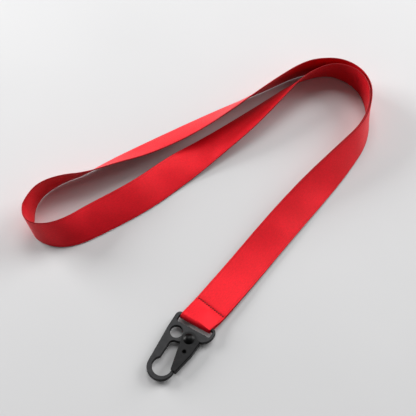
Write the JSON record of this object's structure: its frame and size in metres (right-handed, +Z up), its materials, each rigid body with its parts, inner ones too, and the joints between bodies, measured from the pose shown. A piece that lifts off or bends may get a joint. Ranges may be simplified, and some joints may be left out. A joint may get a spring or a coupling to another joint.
{
  "type": "lanyard",
  "caption": "Neck lanyard of smooth red woven ribbon, both ends sewn through the slot of a flat matt black snap hook with a spring gate.",
  "frame": {"origin": "on the table, under the middle of the snap hook as it lies flat", "axes": "+Z up off the table, +Y along the hook towards its ribbon slot and the strap, +X towards the side the gate opens to"},
  "size_m": [0.1537, 0.2377, 0.0206],
  "materials": {
    "ribbon": "satin",
    "thread": "satin",
    "hook_paint": "matte",
    "spring_steel": "satin"
  },
  "bodies": {
    "strap": {"ribbon_outer_ply": "ribbon", "ribbon_inner_ply": "ribbon", "ribbon_fold": "ribbon", "needle_thread": "thread", "bobbin_thread": "thread"},
    "hook": {"hook_body": "hook_paint", "pivot_rivet": "hook_paint", "gate_spring": "spring_steel"},
    "gate": {"gate_shell": "hook_paint", "spring_pin": "hook_paint"}
  },
  "joints": [
    {"name": "hook_swing", "type": "hinge", "parent": "strap", "child": "hook", "pos_m": [-0.0002, 0.01905, 0.0026], "axis": [1, 0, 0], "range_deg": [-90, 90]},
    {"name": "gate_pivot", "type": "hinge", "parent": "hook", "child": "gate", "pos_m": [0.0016, 0.0079, 0.0026], "axis": [0, 0, -1], "range_deg": [0, 20], "stiffness_Nm_per_rad": 0.02, "springref_deg": -28.65, "deforming": ["gate_spring"]}
  ]
}
